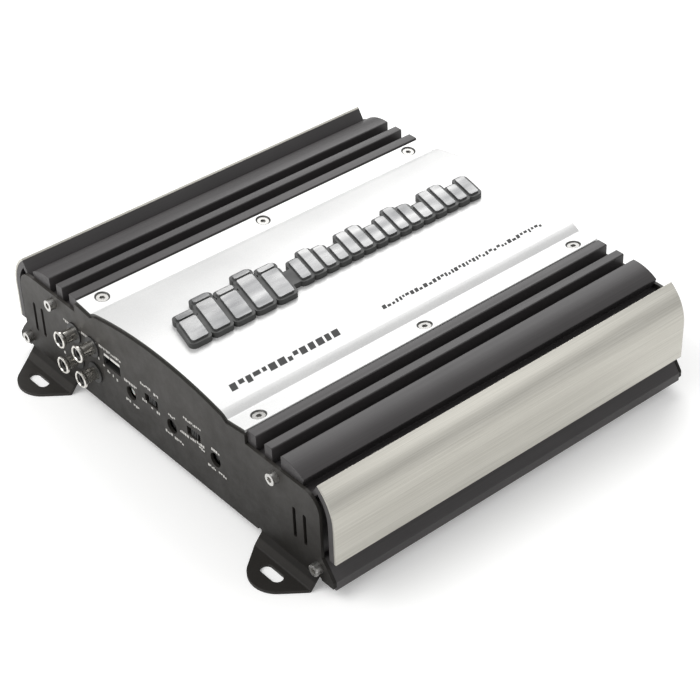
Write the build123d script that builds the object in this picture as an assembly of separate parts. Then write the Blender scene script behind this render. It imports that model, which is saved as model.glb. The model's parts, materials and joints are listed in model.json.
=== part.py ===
from build123d import *
from math import acos, atan2, cos, hypot, radians, sin, sqrt, tan
import os

os.makedirs("parts", exist_ok=True)

# Two-channel car amplifier, in millimetres.
# X runs across the body, from wing to wing. Y runs from the control panel (-Y) to the power panel (+Y).
# Inside this file heights are counted from the underside of the body; save() lifts everything onto its feet.

# ---------------------------------------------------------------- driving dimensions
# Overall
BODY_LENGTH = 202.6        # the extrusion, end to end
HALF_WIDTH = 115.8         # middle plane to the outer face of a wing
BODY_LIFT = 4.5            # soles of the feet up to the underside of the body
SHEET = 1.5                # steel of the end plates, and thickness of the top cover
HALF_LENGTH = BODY_LENGTH / 2
PLATE_FACE = HALF_LENGTH + SHEET

# Screws and cutting
M3 = 1.5                   # radius of the M3 screws that hold the casing together
FIT_GAP = 0.02             # radial slack of a screw in its tapped hole
PASS_GAP = 0.15            # radial slack of a screw in a plain hole
PAST = 1.0                 # how far a cutting tool runs past a face

# Extrusion, right half
DECK_TOP = 43.0            # upper face of the deck, which is also the floor between the fins
DECK_UNDERSIDE = 40.0
ROOT = 1.0                 # how deep fins and rails are merged into the deck
FIN_TOP = 51.0
RAIL_INNER = 50.6          # rails that carry the flanges of the top cover
FIN_EDGES = [(62.0, 67.6), (73.2, 78.0)]
BROAD_FIN_INNER = 83.6
BROAD_FIN_CROWN = (91.6, 50.3)
BROAD_FIN_TIP = (98.1, 47.4)
BROAD_FIN_OUTER = 96.2
SHELF_TOP = 42.4            # floor of the groove beside the wing
WING_RADIUS = 22.0         # outer face of the trim where the wing rolls in
WING_CENTRE = (HALF_WIDTH - WING_RADIUS, 32.4)
WING_BOTTOM = 14.0
WING_ROOT = (101.5, SHELF_TOP)
WING_TIP = (106.6, 50.3)
WEB_THICK = 2.2
TRIM_THICK = 1.0
SKIN_THICK = 3.0
WALL_INNER = 103.0
WALL_OUTER = 106.5
LEDGE_TOP = 13.6
LIP_INNER = 98.5
LIP_TOP = 7.0

# Bottom plate, set flush into the extrusion
BOTTOM_RECESS = 1.2
BOTTOM_PLATE_THICK = 1.15
BOTTOM_PLATE_HALF = 105.5
BOTTOM_SCREW_X = 101.0
BOTTOM_SCREW_Y = (-88.0, 0.0, 88.0)
BOTTOM_VENT = (22.0, 2.2)
BOTTOM_VENT_COLUMNS = 9
BOTTOM_VENT_PITCH = (12.0, 48.0)

# End plates and their feet
PLATE_BOTTOM = 1.5
PLATE_SHOULDER = 44.7
PLATE_STEP = 62.0          # x where the plate steps down beside the cover
PLATE_SIDE = 108.6
PLATE_HEM = 115.6
PLATE_CORNER_RADIUS = 9.0
PLATE_GAP = 0.05           # plate's upper edge below the underside of the cover
PLATE_SCREW_TOP = (80.9, 39.3)
PLATE_SCREW_BOTTOM = (106.3, 7.4)
VENT_X = (92.2, 98.8)
VENT_MIDDLE = 22.5
VENT_LENGTH = 16.0
VENT_WIDTH = 2.0
FOOT_X = 87.2
FOOT_HALF = 18.2
FOOT_DROP = 3.0            # underside of the body down to the upper face of a foot
FOOT_CREASE = 4.3          # plate's outer face to the crease
FOOT_ROUND = 13.1
FOOT_ROUND_Y = 7.6         # end of the extrusion out to the centre of the rounded end
BEND_RELIEF = 1.3
SLOT_Y = 11.1              # end of the extrusion out to the middle of a slot
SLOT_LENGTH = 12.6
SLOT_WIDTH = 5.5

# Top cover
ARCH_TOP = 56.4            # crown of the silver cover
ARCH_SHOULDER = (47.2, 51.2)
COVER_CREASE = (49.8, 49.4)
COVER_ROLL = 10.0          # radius of the long curve from the arch down to the crease
COVER_EDGE = (61.2, 50.8)  # the flanges rise a little from the crease to their outer edges
COVER_FOLD_INNER = 49.4    # underside of the fold between arch and flange
COVER_INNER_END = 46.6
COVER_HALF_LENGTH = HALF_LENGTH + 0.5
COVER_SCREW_X = 56.4
COVER_SCREW_Y = (-91.0, 0.0, 91.0)
COVER_SCREW_HEAD = 2.85
COVER_SCREW_SOCKET = 1.35
COVER_SCREW_SUNK = 0.54    # upper face of the flange down to the head
COVER_SCREW_LENGTH = 5.4   # upper face of the flange down to the screw's tip
COVER_SINK = 3.5           # countersink radius at the flange's upper face

# Badge: a level meter of slanted columns, broad ones first and then a wave of narrow ones
BADGE_SLANT = radians(14)
BADGE_BASE_RISE = 2.6
BADGE_BAR_RISE = 3.5
BADGE_MIDDLE = -4.9        # x of the badge's centre line
BADGE_BORDER = 1.5
BADGE_CORNER = 1.1
BROAD_COLUMN_HEADS = (6.0, 12.0, 9.0, 14.5, 10.5)
BROAD_COLUMN_START = -84.8
BROAD_COLUMN_PITCH = 11.7
BROAD_COLUMN_WIDTH = 8.6
PEAK_MARK = 3.3
PEAK_GAP = 1.3
NARROW_COLUMNS = 15
NARROW_COLUMN_START = -22.8
NARROW_COLUMN_PITCH = 7.2
NARROW_COLUMN_WIDTH = 5.2

# Control panel; x and height of each control
JACK_X = (-64.7, -50.3)
JACK_Z = (17.5, 31.7)
JACK_HOLE = 5.2
JACK_REACH = 8.6           # plate's outer face to the jack's lip
JACK_BACK = -86.0
JACK_HOUSING_X = (-71.9, -43.3)
JACK_HOUSING_TOP = 39.4
JACK_BARREL = 3.15
JACK_BORE = 2.75
JACK_MOUTH = 0.9           # lip back to the plastic core
JACK_FLARE = 4.2
JACK_SCREW = (sum(JACK_X) / 2, sum(JACK_Z) / 2)
JACK_SCREW_RADIUS = 1.2
LEVEL_POT = (-21.8, 22.0)
LOW_PASS_POT = (8.4, 21.5)
HIGH_PASS_POT = (39.5, 22.0)
POT_HOLE = 3.5
POT_HALF = (4.9, 5.6)      # half width and half height of a potentiometer
SPINDLE_RADIUS = 2.7
SPINDLE_GAP = 0.06
SPINDLE_LENGTH = 5.0
SPINDLE_INSET = 2.0        # plate's outer face back to the slotted end of a spindle
BASS_SWITCH = (-6.0, 26.6)
CROSSOVER_SWITCH = (24.8, 26.9)
SWITCH_SLOT = (9.4, 4.6)
SWITCH_HALF = (6.2, 3.6)
SLIDER_HALF = (2.2, 1.9)
SLIDER_RIB_PITCH = 1.2
SLIDER_INSET = 0.5         # plate's outer face back to the face of a slider
CONTROL_BOARD_FACE = -HALF_LENGTH + 8.0
CONTROL_BOARD_X = (-27.5, 48.0)
CONTROL_BOARD_TOP = 36.5
SOCKET_CENTRE = (-35.5, 30.2)
SOCKET_HOLE = (13.0, 6.6)
SOCKET_SIZE = (14.4, 12.0, 9.6)
SOCKET_NOSE_INSET = 0.35   # plate's outer face back to the socket's nose, which fills the hole
SOCKET_NOSE_GAP = 0.1
SOCKET_CAVITY = (11.6, 9.5)    # width and depth of the socket's mouth
SOCKET_MOUTH = (-2.9, 1.3)     # its floor and roof, from the middle of the hole
SOCKET_KEY = (-2.1, -1.3)  # keyway in the upper wall, from the socket's middle
SOCKET_PINS = 4
SOCKET_PIN_PITCH = 3.0

# Circuit board
BOARD_BOTTOM = 8.5
BOARD_THICK = 1.6
BOARD_TOP = BOARD_BOTTOM + BOARD_THICK
BOARD_HALF = (102.2, 98.0)
STANDOFFS = [(-88.0, -80.0), (88.0, -80.0), (-88.0, 80.0), (88.0, 80.0), (-30.0, 0.0), (40.0, 0.0)]
STANDOFF_RADIUS = 3.2
STANDOFF_BORE = 1.3

# Power panel
BLOCK_BACK = HALF_LENGTH - 9.0
BLOCK_MOUTH = PLATE_FACE + 11.0
BLOCK_WALL = 1.5           # behind the cages, and half the width left over at the ends
BLOCK_LIP = 2.5            # in front of the cages
ENTRY_SHARE = 0.40         # middle of a wire entry, as a share of the block's height
CAGE_WALL = 1.0
CAGE_THREAD = 2.6          # thick threaded top of a cage
CAGE_SLACK = 0.05
TERMINAL_SCREW_Y = BLOCK_MOUTH - 6.5
POWER_TERMINALS = {"x": -46.0, "ways": 3, "pitch": 13.0, "height": 20.0, "entry": 8.0, "screw": 2.9}
SPEAKER_TERMINALS = {"x": 45.0, "ways": 4, "pitch": 10.0, "height": 17.0, "entry": 5.6, "screw": 2.2}
CUTOUT_GAP = 0.15
FUSE_X = (-5.0, 5.0)
FUSE_Z = 19.0
FUSE_HOLDER = (22.4, 25.0)
FUSE_HOLDER_BACK = HALF_LENGTH - 3.0
FUSE_HOLDER_FRONT = PLATE_FACE + 9.0
FUSE_SEAT = PLATE_FACE + 3.0
FUSE_BODY = (5.0, 19.0)    # thickness and width of a blade fuse
FUSE_OUT = 12.0            # length of the fuse's body
FUSE_WAIST = 1.2
BLADE = (0.7, 5.1)
BLADE_SPREAD = 6.75        # middle of the fuse to the middle of a blade
BLADE_LENGTH = 7.0
CLIP_REACH = 1.25          # middle of a blade to the outer face of its spring leaf
LAMP_X = (76.0, 84.0)
LAMP_Z = 26.0
LAMP_RADIUS = 1.5
LAMP_COLLAR = 1.9
LAMP_BACK = HALF_LENGTH - 4.0

# Parts on the circuit board
TRANSISTOR_Y = (-54.0, -30.0, -6.0, 18.0, 42.0)
TRANSISTOR_X = (98.2, 102.6)
TRANSISTOR_HALF = 5.0
LEAD_PITCH = 2.54
CLAMP_SCREW_Y = (-42.0, -18.0, 6.0, 30.0)
CLAMP_SCREW_Z = 23.0
CLAMP_BACK = 95.2
CLAMP_MARGIN = 8.0         # clamp bar's end past the last transistor's middle
TRANSFORMER = {"centre": (-52.0, 26.0), "inner": 12.0, "outer": 20.0, "low": 14.1, "high": 28.1}
CHOKE = {"centre": (52.0, 66.0), "inner": 6.5, "outer": 12.0, "low": 12.1, "high": 21.1}
CAPACITOR_RADIUS = 8.0
INPUT_CAPACITOR_X = (-68.0, -50.0)
INPUT_CAPACITOR_Y = 74.0
OUTPUT_CAPACITOR_START = (4.0, -28.0)
OUTPUT_CAPACITOR_PITCH = 19.0
CHIPS = 5
CHIP_START = -20.0
CHIP_PITCH = 16.0
CHIP_Y = (-76.0, -69.6)


# ---------------------------------------------------------------- helpers
def box(x, y, z):
    """Box from three (low, high) pairs."""
    centre = [(low + high) / 2 for low, high in (x, y, z)]
    size = [high - low for low, high in (x, y, z)]
    return Pos(*centre) * Box(*size)


def around(middle, half):
    """The (low, high) pair that reaches half each way from a middle."""
    return (middle - half, middle + half)


def rod(start, direction, radius, length):
    """Cylinder from start along direction."""
    body = Cylinder(radius, length, align=(Align.CENTER, Align.CENTER, Align.MIN))
    return Plane(origin=start, z_dir=direction) * body


def cone(start, direction, first, last, length):
    """Cone from start along direction, with its radius going from first to last."""
    body = Cone(first, last, length, align=(Align.CENTER, Align.CENTER, Align.MIN))
    return Plane(origin=start, z_dir=direction) * body


def along_y(section, start, end):
    """Extrude a section drawn in (x, height) from y = start to y = end."""
    placed = Plane(origin=(0, start, 0), x_dir=(1, 0, 0), z_dir=(0, -1, 0)) * section
    return extrude(placed, amount=end - start, dir=(0, 1, 0))


def along_x(section, start, end):
    """Extrude a section drawn in (y, height) from x = start to x = end."""
    placed = Plane(origin=(start, 0, 0), x_dir=(0, 1, 0), z_dir=(1, 0, 0)) * section
    return extrude(placed, amount=end - start, dir=(1, 0, 0))


def upward(section, start, end):
    """Extrude a section drawn in (x, y) from height start to height end."""
    return extrude(Pos(0, 0, start) * section, amount=end - start)


def rectangle(low, high):
    """Flat rectangle from its two corners."""
    centre = Pos((low[0] + high[0]) / 2, (low[1] + high[1]) / 2)
    return centre * Rectangle(high[0] - low[0], high[1] - low[1])


def upright_slot(x, z, length, width):
    """Flat slot with round ends, standing on end."""
    return Pos(x, z) * Rot(0, 0, 90) * SlotOverall(length, width)


def polygon(*points):
    """Flat face with straight edges."""
    return make_face(Polyline(*points, close=True))


def ring(centre, inner, outer, low, high):
    """Upright tube between two heights."""
    return upward(Pos(*centre) * (Circle(outer) - Circle(inner)), low, high)


def both_sides(shape):
    """The shape and its mirror image across the middle plane, as one."""
    return shape + mirror(shape, about=Plane.YZ)


def rounded(section, corners, radius):
    """Fillet the corners of a flat section that lie nearest the given points."""
    picked = [min(section.vertices(), key=lambda v: hypot(v.X - x, v.Y - y)) for x, y in corners]
    return fillet(picked, radius)


def group(pieces):
    """Separate solids of one kind, kept apart in one node."""
    return Compound([solid for piece in pieces for solid in piece.solids()])


def save(name, shape):
    """Lift a finished piece onto the feet and write it."""
    export_step(Pos(0, 0, BODY_LIFT) * shape, f"parts/{name}.step")


def socket_screw(start, inward, head_radius, head_height, length, socket):
    """Cap screw: start is the centre of its seat, and the head stands outward from there."""
    outward = tuple(-value for value in inward)
    head = rod(start, outward, head_radius, head_height)
    shank = rod(start, inward, M3 - FIT_GAP, length)
    top = tuple(s + o * head_height for s, o in zip(start, outward))
    recess = Plane(origin=top, z_dir=inward) * extrude(RegularPolygon(socket, 6), head_height * 0.6)
    return head + shank - recess


# ---------------------------------------------------------------- heatsink extrusion
def right_of_wing_face():
    """Everything outboard of the wing's sloping inner face and above the start of its curve."""
    beyond = (2 * WING_TIP[0] - WING_ROOT[0], 2 * WING_TIP[1] - WING_ROOT[1])
    far = HALF_WIDTH + 14
    return polygon(WING_ROOT, beyond, (far, beyond[1]), (far, WING_CENTRE[1]), (WING_ROOT[0], WING_CENTRE[1]))


def wing_layer(outer, inner):
    """One curved layer of the wing between two radii, with its straight lower part."""
    x, z = WING_CENTRE
    curved = Pos(x, z) * (Circle(outer) - Circle(inner)) & right_of_wing_face()
    straight = rectangle((x + inner, WING_BOTTOM), (x + outer, z))
    return curved + straight


def web_back(point):
    """The given point of the web's inner face, moved through the web's thickness."""
    slope = (WING_TIP[0] - WING_ROOT[0], WING_TIP[1] - WING_ROOT[1])
    share = WEB_THICK / hypot(*slope)
    return (point[0] + slope[1] * share, point[1] - slope[0] * share)


def wing_web():
    """Sloping wall that carries the wing, from the deck up to the wing's tip."""
    web = polygon(WING_ROOT, WING_TIP, web_back(WING_TIP), web_back(WING_ROOT))
    return web & (Pos(*WING_CENTRE) * Circle(WING_RADIUS - TRIM_THICK))


def broad_fin():
    """Outermost fin, with a rounded top that falls away towards the wing."""
    top = (BROAD_FIN_INNER, FIN_TOP)
    foot = DECK_TOP - ROOT
    outline = (
        Line((BROAD_FIN_INNER, foot), top)
        + ThreePointArc(top, BROAD_FIN_CROWN, BROAD_FIN_TIP)
        + Polyline(
            BROAD_FIN_TIP, (BROAD_FIN_OUTER, SHELF_TOP), (BROAD_FIN_OUTER, foot), (BROAD_FIN_INNER, foot),
        )
    )
    return rounded(make_face(outline), [top, BROAD_FIN_TIP], 0.7)


def ledge():
    """Foot of the side wall: the chamfered ledge outside and the lip for the bottom plate inside."""
    recess_edge = BOTTOM_PLATE_HALF + 0.2
    outer_edge = HALF_WIDTH - 0.1
    corners = [(outer_edge, 0), (outer_edge, 4.7), (112.1, 9.7), (109.0, LEDGE_TOP)]
    outline = polygon(
        (LIP_INNER, BOTTOM_RECESS), (recess_edge, BOTTOM_RECESS), (recess_edge, 0),
        *corners, (WALL_INNER, LEDGE_TOP), (WALL_INNER, LIP_TOP), (LIP_INNER, LIP_TOP),
    )
    return rounded(outline, corners, 0.8)


def shoulder():
    """Thickened corner that joins deck, wing and side wall."""
    return polygon(
        (96.0, DECK_UNDERSIDE + 0.5), (96.0, SHELF_TOP), WING_ROOT, web_back(WING_ROOT), (WALL_OUTER, 38.0),
        (WALL_OUTER, 34.0), (WALL_INNER, 34.0), (WALL_INNER, 37.5), (100.0, DECK_UNDERSIDE),
    )


def rail():
    """Rail under a flange of the cover, joined to the first fin."""
    low = DECK_TOP - ROOT
    inner, outer = RAIL_INNER, FIN_EDGES[0][0]
    return polygon((inner, low), (outer, low), (outer, flange_under(outer)), (inner, flange_under(inner)))


def heatsink_section():
    """Cross-section of the right half of the extrusion."""
    half = rectangle((0, DECK_UNDERSIDE), (BROAD_FIN_OUTER, DECK_TOP))
    half += rail()
    for inner, outer in FIN_EDGES:
        fin = rectangle((inner, DECK_TOP - ROOT), (outer, FIN_TOP))
        half += rounded(fin, [(inner, FIN_TOP), (outer, FIN_TOP)], 0.6)
    half += broad_fin()
    half += shoulder()
    half += rectangle((WALL_INNER, LIP_TOP), (WALL_OUTER, DECK_UNDERSIDE))
    half += wing_layer(WING_RADIUS - TRIM_THICK, WING_RADIUS - TRIM_THICK - SKIN_THICK)
    half += wing_web()
    half += ledge()
    half += Pos(*PLATE_SCREW_TOP) * Circle(3.5)
    for centre in (PLATE_SCREW_TOP, PLATE_SCREW_BOTTOM):
        half -= Pos(*centre) * Circle(M3)
    return half


def heatsink():
    """The whole extrusion, drilled for the cover, the clamp bars and the bottom plate."""
    body = both_sides(along_y(heatsink_section(), -HALF_LENGTH, HALF_LENGTH))
    for side in (-1, 1):
        for y in COVER_SCREW_Y:
            body -= rod(flange_point(side, y, COVER_SCREW_LENGTH + 0.6), flange_normal(side), M3, 10)
        for y in CLAMP_SCREW_Y:
            body -= rod((side * (WALL_INNER - PAST), y, CLAMP_SCREW_Z), (side, 0, 0), M3, 4)
        for y in BOTTOM_SCREW_Y:
            body -= rod((side * BOTTOM_SCREW_X, y, 0), (0, 0, 1), M3, 6)
    return body


def wing_trim():
    """Brushed strip over the right wing."""
    section = wing_layer(WING_RADIUS, WING_RADIUS - TRIM_THICK)
    return along_y(section, -HALF_LENGTH, HALF_LENGTH)


# ---------------------------------------------------------------- top cover and badge
def arch_radius():
    """Radius of the cover's upper face."""
    rise = ARCH_TOP - ARCH_SHOULDER[1]
    return (ARCH_SHOULDER[0] ** 2 + rise**2) / (2 * rise)


def arch_height(x, radius):
    """Height at x of an arc about the arch's centre."""
    return ARCH_TOP - arch_radius() + sqrt(radius**2 - x**2)


def flange_slope():
    return (COVER_EDGE[1] - COVER_CREASE[1]) / (COVER_EDGE[0] - COVER_CREASE[0])


def flange_under(x):
    """Height of a flange's underside at x, on the right."""
    return COVER_EDGE[1] - SHEET - (COVER_EDGE[0] - x) * flange_slope()


def flange_normal(side):
    """Unit vector out of a flange's upper face; side is -1 on the left."""
    length = hypot(1, flange_slope())
    return (-side * flange_slope() / length, 0, 1 / length)


def flange_point(side, y, depth):
    """Point on the axis of a cover screw, at a depth below the flange's upper face."""
    out = flange_normal(side)
    height = flange_under(COVER_SCREW_X) + SHEET
    return (side * COVER_SCREW_X - out[0] * depth, y, height - out[2] * depth)


def cover_section():
    """Two sloping flanges and one shallow arch between them, rolled down to them."""
    inner_end = (COVER_INNER_END, arch_height(COVER_INNER_END, arch_radius() - SHEET))
    right = [COVER_CREASE, COVER_EDGE, (COVER_EDGE[0], flange_under(COVER_EDGE[0])),
             (COVER_FOLD_INNER, flange_under(COVER_FOLD_INNER))]
    left = [(-x, z) for x, z in reversed(right)]
    left_shoulder = (-ARCH_SHOULDER[0], ARCH_SHOULDER[1])
    left_inner_end = (-inner_end[0], inner_end[1])
    outline = (
        ThreePointArc(left_shoulder, (0, ARCH_TOP), ARCH_SHOULDER)
        + Polyline(ARCH_SHOULDER, *right, inner_end)
        + ThreePointArc(inner_end, (0, ARCH_TOP - SHEET), left_inner_end)
        + Polyline(left_inner_end, *left, left_shoulder)
    )
    section = make_face(outline)
    for side in (-1, 1):
        section = rounded(section, [(side * ARCH_SHOULDER[0], ARCH_SHOULDER[1])], COVER_ROLL)
        section = rounded(section, [(side * COVER_CREASE[0], COVER_CREASE[1])], 0.9)
        section = rounded(section, [(side * COVER_EDGE[0], COVER_EDGE[1])], 0.4)
    return section


def top_cover():
    """Silver sheet over the middle of the deck, countersunk for its six screws."""
    cover = along_y(cover_section(), -COVER_HALF_LENGTH, COVER_HALF_LENGTH)
    for side in (-1, 1):
        for y in COVER_SCREW_Y:
            cover -= cone(flange_point(side, y, SHEET), flange_normal(side), M3 + 0.25, COVER_SINK, SHEET)
    return cover


def cover_screw(side, y):
    """Flat-head screw with a hexagon socket, sunk into the flange."""
    out = flange_normal(side)
    inward = tuple(-value for value in out)
    taper = (COVER_SINK - M3 - 0.25) / SHEET
    head_height = SHEET - COVER_SCREW_SUNK - FIT_GAP
    seat = flange_point(side, y, COVER_SCREW_SUNK + head_height)
    top = flange_point(side, y, COVER_SCREW_SUNK)
    head = cone(seat, out, COVER_SCREW_HEAD - taper * head_height, COVER_SCREW_HEAD, head_height)
    shank = rod(top, inward, M3 - FIT_GAP, COVER_SCREW_LENGTH - COVER_SCREW_SUNK)
    socket = Plane(origin=top, z_dir=inward) * extrude(RegularPolygon(COVER_SCREW_SOCKET, 6), 0.8)
    return head + shank - socket


def cover_screws():
    return group([cover_screw(side, y) for side in (-1, 1) for y in COVER_SCREW_Y])


def badge_bar(y, foot, head, width):
    """Outline of one slanted bar seen from above, from foot to head on either side of the badge's line."""
    low = (BADGE_MIDDLE - foot, y + foot * tan(BADGE_SLANT))
    high = (BADGE_MIDDLE - head, y + head * tan(BADGE_SLANT))
    bar = polygon(low, (low[0], low[1] + width), (high[0], high[1] + width), high)
    return fillet(bar.vertices(), BADGE_CORNER)


def badge_bars_plan():
    """Broad columns, each under a separate peak mark, then a wave of narrow columns."""
    bars = []
    for index, head in enumerate(BROAD_COLUMN_HEADS):
        y = BROAD_COLUMN_START + BROAD_COLUMN_PITCH * index
        bars.append(badge_bar(y, -13.5, head - PEAK_MARK - PEAK_GAP, BROAD_COLUMN_WIDTH))
        bars.append(badge_bar(y, head - PEAK_MARK, head, BROAD_COLUMN_WIDTH))
    for index in range(NARROW_COLUMNS):
        head = 0.5 + 8.5 * abs(sin(0.9 * index + 0.6))
        y = NARROW_COLUMN_START + NARROW_COLUMN_PITCH * index
        bars.append(badge_bar(y, -9.5, head, NARROW_COLUMN_WIDTH))
    return bars


def arch_shell(plan, low, high):
    """Vertical walls over a plan, between two heights above the curved cover."""
    start = (0, -HALF_LENGTH, ARCH_TOP - arch_radius())
    slab = upward(plan, ARCH_TOP - 4, ARCH_TOP + 8)
    outer = rod(start, (0, 1, 0), arch_radius() + high, BODY_LENGTH)
    inner = rod(start, (0, 1, 0), arch_radius() + low, BODY_LENGTH)
    return (slab & outer) - inner


def badge_base():
    """Dark carrier that follows the outline of the bars."""
    spine_end = BROAD_COLUMN_START + 6
    plan = rectangle((BADGE_MIDDLE - 1.5, spine_end), (BADGE_MIDDLE + 9.5, -spine_end))
    for bar in badge_bars_plan():
        plan += offset(bar, BADGE_BORDER)
    return arch_shell(plan, 0, BADGE_BASE_RISE)


def badge_bars():
    return group([arch_shell(bar, BADGE_BASE_RISE, BADGE_BAR_RISE) for bar in badge_bars_plan()])


# ---------------------------------------------------------------- end plates with feet
def plate_outline():
    """Outline of an end plate, in (x, height): its upper edge runs close under the cover."""
    shoulder_end = (COVER_INNER_END, arch_height(COVER_INNER_END, arch_radius() - SHEET - PLATE_GAP))
    step = (PLATE_STEP, flange_under(PLATE_STEP) - PLATE_GAP)
    right = [
        shoulder_end, (COVER_FOLD_INNER, flange_under(COVER_FOLD_INNER) - PLATE_GAP), step,
        (PLATE_STEP, PLATE_SHOULDER), (PLATE_SIDE, PLATE_SHOULDER), (PLATE_SIDE, 14.2), (112.2, 9.9),
        (PLATE_HEM, 5.0), (PLATE_HEM, PLATE_BOTTOM),
    ]
    left = [(-x, z) for x, z in reversed(right)]
    crown = (0, ARCH_TOP - SHEET - PLATE_GAP)
    section = make_face(Polyline(*right, *left) + ThreePointArc(left[-1], crown, shoulder_end))
    for side in (-1, 1):
        section = rounded(section, [(side * PLATE_SIDE, PLATE_SHOULDER)], PLATE_CORNER_RADIUS)
        section = rounded(section, [(side * PLATE_HEM, PLATE_BOTTOM), (side * PLATE_HEM, 5.0)], 0.8)
        section = rounded(section, [(side * step[0], step[1])], 0.6)
    return section


def foot_tangent(centre, corner):
    """Where a straight edge from a corner of the foot meets its rounded end."""
    outward = 1 if corner[0] > centre[0] else -1
    reach = (abs(corner[0] - centre[0]), corner[1] - centre[1])
    touch = atan2(reach[1], reach[0]) - acos(FOOT_ROUND / hypot(*reach))
    return (centre[0] + outward * FOOT_ROUND * cos(touch), centre[1] + FOOT_ROUND * sin(touch))


def foot_plan():
    """Outline of one foot from above: straight at the bend, tapering to a rounded end."""
    centre = (FOOT_X, -HALF_LENGTH - FOOT_ROUND_Y)
    crease_y = -PLATE_FACE - FOOT_CREASE
    left, right = around(FOOT_X, FOOT_HALF)
    right_tangent = foot_tangent(centre, (right, crease_y))
    left_tangent = foot_tangent(centre, (left, crease_y))
    outline = (
        Polyline(
            right_tangent, (right, crease_y), (right, -HALF_LENGTH),
            (left, -HALF_LENGTH), (left, crease_y), left_tangent,
        )
        + ThreePointArc(left_tangent, (centre[0], centre[1] - FOOT_ROUND), right_tangent)
    )
    return rounded(make_face(outline), [(left, crease_y), (right, crease_y)], 2.0)


def foot_sheet():
    """Section of a foot in (y, height): down the plate, out along the bend, then flat."""
    face = -PLATE_FACE
    back = -HALF_LENGTH
    top = -FOOT_DROP
    sole = -BODY_LIFT
    tip = back - FOOT_ROUND_Y - FOOT_ROUND - PAST
    bend_top = (face, PLATE_BOTTOM + 0.5)
    crease = (face - FOOT_CREASE, top)
    run = (crease[0] - bend_top[0], crease[1] - bend_top[1])
    length = hypot(*run)
    under = (bend_top[0] - run[1] / length * SHEET, bend_top[1] + run[0] / length * SHEET)
    under_back = (back, under[1] + (back - under[0]) * run[1] / run[0])
    under_crease = (under[0] + (sole - under[1]) * run[0] / run[1], sole)
    section = polygon(
        (back, 5), (face, 5), bend_top, crease, (tip, top), (tip, sole), under_crease, under_back,
    )
    return rounded(section, [bend_top, crease, under_crease], 1.0)


def foot():
    """Foot bent out of the bottom edge of the end plate."""
    low, high = around(FOOT_X, FOOT_HALF)
    sheet = along_x(foot_sheet(), low - PAST, high + PAST)
    tab = sheet & upward(foot_plan(), -10, 10)
    slot = Pos(FOOT_X, -HALF_LENGTH - SLOT_Y) * SlotOverall(SLOT_LENGTH, SLOT_WIDTH)
    return tab - upward(slot, -10, 0)


def through_plate(x, z, radius):
    """Round cutter through the end plate at the control end."""
    return rod((x, -PLATE_FACE - PAST, z), (0, 1, 0), radius, SHEET + 2 * PAST)


def slot_through_plate(section):
    """Shaped cutter through the end plate at the control end."""
    return along_y(section, -PLATE_FACE - PAST, -HALF_LENGTH + PAST)


def bare_end_plate():
    """End plate at the control end, with its feet, vents and screw holes, before the panel is cut."""
    plate = along_y(plate_outline(), -PLATE_FACE, -HALF_LENGTH)
    for x in around(FOOT_X, FOOT_HALF + BEND_RELIEF):
        for side in (-1, 1):
            plate -= through_plate(side * x, PLATE_BOTTOM, BEND_RELIEF)
    plate += both_sides(foot())
    for side in (-1, 1):
        for x in VENT_X:
            plate -= slot_through_plate(upright_slot(side * x, VENT_MIDDLE, VENT_LENGTH, VENT_WIDTH))
        for x, z in (PLATE_SCREW_TOP, PLATE_SCREW_BOTTOM):
            plate -= through_plate(side * x, z, M3 + PASS_GAP)
    return plate


def front_end_plate():
    """Control panel."""
    plate = bare_end_plate()
    for x, z in jack_positions():
        plate -= through_plate(x, z, JACK_HOLE)
    plate -= through_plate(*JACK_SCREW, JACK_SCREW_RADIUS + 0.1)
    for x, z in (LEVEL_POT, LOW_PASS_POT, HIGH_PASS_POT):
        plate -= through_plate(x, z, POT_HOLE)
    for x, z in (BASS_SWITCH, CROSSOVER_SWITCH):
        plate -= slot_through_plate(Pos(x, z) * RectangleRounded(*SWITCH_SLOT, 0.6))
    return plate - slot_through_plate(Pos(*SOCKET_CENTRE) * RectangleRounded(*SOCKET_HOLE, 0.6))


def rear_end_plate():
    """Power panel, with cut-outs for both terminal blocks, the fuse holder and two lamps."""
    plate = Rot(0, 0, 180) * bare_end_plate()
    depth = (HALF_LENGTH - PAST, PLATE_FACE + PAST)
    for terminals in (POWER_TERMINALS, SPEAKER_TERMINALS):
        half_width = block_width(terminals) / 2 + CUTOUT_GAP
        height = (BOARD_TOP - CUTOUT_GAP, BOARD_TOP + terminals["height"] + CUTOUT_GAP)
        plate -= box(around(terminals["x"], half_width), depth, height)
    width, height = FUSE_HOLDER
    plate -= box(around(0, width / 2 + CUTOUT_GAP), depth, around(FUSE_Z, height / 2 + CUTOUT_GAP))
    for x in LAMP_X:
        plate -= rod((x, depth[0], LAMP_Z), (0, 1, 0), LAMP_RADIUS + 0.1, SHEET + 2 * PAST)
    return plate


def plate_screws(direction):
    """Four cap screws of one end plate; direction is -1 at the control end."""
    screws = []
    for side in (-1, 1):
        for x, z in (PLATE_SCREW_TOP, PLATE_SCREW_BOTTOM):
            seat = (side * x, direction * PLATE_FACE, z)
            screws.append(socket_screw(seat, (0, -direction, 0), 2.75, 2.9, 9.0, 1.5))
    return group(screws)


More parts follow.
